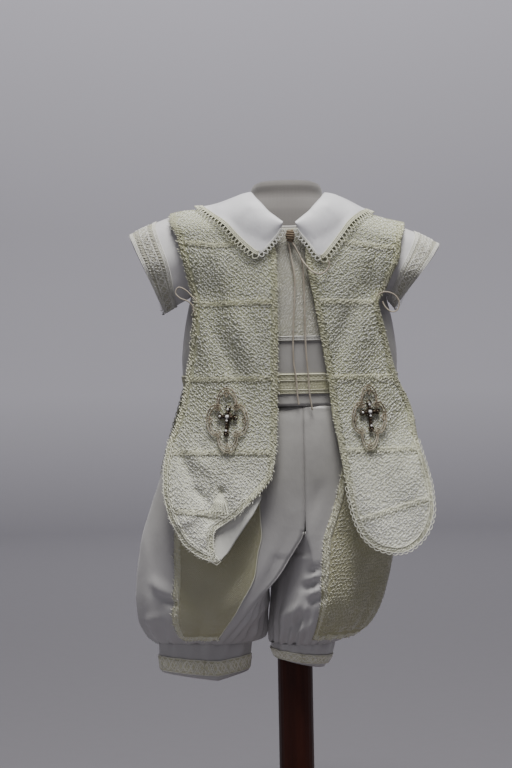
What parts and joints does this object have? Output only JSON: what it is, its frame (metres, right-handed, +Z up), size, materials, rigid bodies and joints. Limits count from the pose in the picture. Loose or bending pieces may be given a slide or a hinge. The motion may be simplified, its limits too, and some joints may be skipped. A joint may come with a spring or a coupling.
{
  "type": "christening romper with long vest on dress form",
  "caption": "Satin boy's christening romper with full cuffed legs under a long open lace vest with rounded tails, on a limbless dress form with wooden post and round foot.",
  "frame": {"origin": "centre of the flat underside of the dress form's round foot", "axes": "+Z up along the post; -Y out of the front of the outfit; +X to the right of somebody who looks at the front"},
  "size_m": [0.3582, 0.27, 0.764],
  "materials": {
    "satin": "soft white satin with a low sheen",
    "romper_lace": "ivory openwork lace on satin",
    "vest_lace": "stiff ivory lace cloth with a zigzag weave",
    "trim_lace": "ivory crochet lace edging",
    "braid": "beige twisted braid",
    "dark_metal": "dark aged metal set with small pearls",
    "form_cloth": "pale cloth-covered dress form",
    "wood": "dark reddish-brown lacquered wood"
  },
  "bodies": {
    "root": {"bodice_front": "satin", "bodice_back": "satin", "sleeve_left": "satin", "sleeve_right": "satin", "leg_front_left": "satin", "leg_back_left": "satin", "leg_front_right": "satin", "leg_back_right": "satin", "cuff_left": "satin", "cuff_right": "satin", "collar_left": "satin", "collar_right": "satin", "vest_lining_left": "satin", "yoke_lace": "romper_lace", "sleeve_lace_left": "romper_lace", "sleeve_lace_right": "romper_lace", "leg_lace_left": "romper_lace", "leg_lace_right": "romper_lace", "vest_front_left": "vest_lace", "vest_front_right": "vest_lace", "vest_back": "vest_lace", "waistband_front": "trim_lace", "waistband_back": "trim_lace", "cuff_lace_left": "trim_lace", "cuff_lace_right": "trim_lace", "vest_edging_left": "trim_lace", "vest_edging_right": "trim_lace", "vest_edging_back": "trim_lace", "collar_lace_left": "trim_lace", "collar_lace_right": "trim_lace", "vest_trim_left_1": "trim_lace", "vest_trim_left_2": "trim_lace", "vest_trim_left_3": "trim_lace", "vest_trim_left_4": "trim_lace", "vest_trim_left_5": "trim_lace", "vest_trim_right_1": "trim_lace", "vest_trim_right_2": "trim_lace", "vest_trim_right_3": "trim_lace", "vest_trim_right_4": "trim_lace", "vest_trim_right_5": "trim_lace", "medallion_left": "braid", "medallion_right": "braid", "tie_knot": "braid", "tie_left": "braid", "tie_right": "braid", "tie_loop": "braid", "side_tie_left": "braid", "side_tie_right": "braid", "cross_left": "dark_metal", "cross_right": "dark_metal", "form_torso": "form_cloth", "form_post": "wood", "form_foot": "wood"}
  },
  "joints": []
}
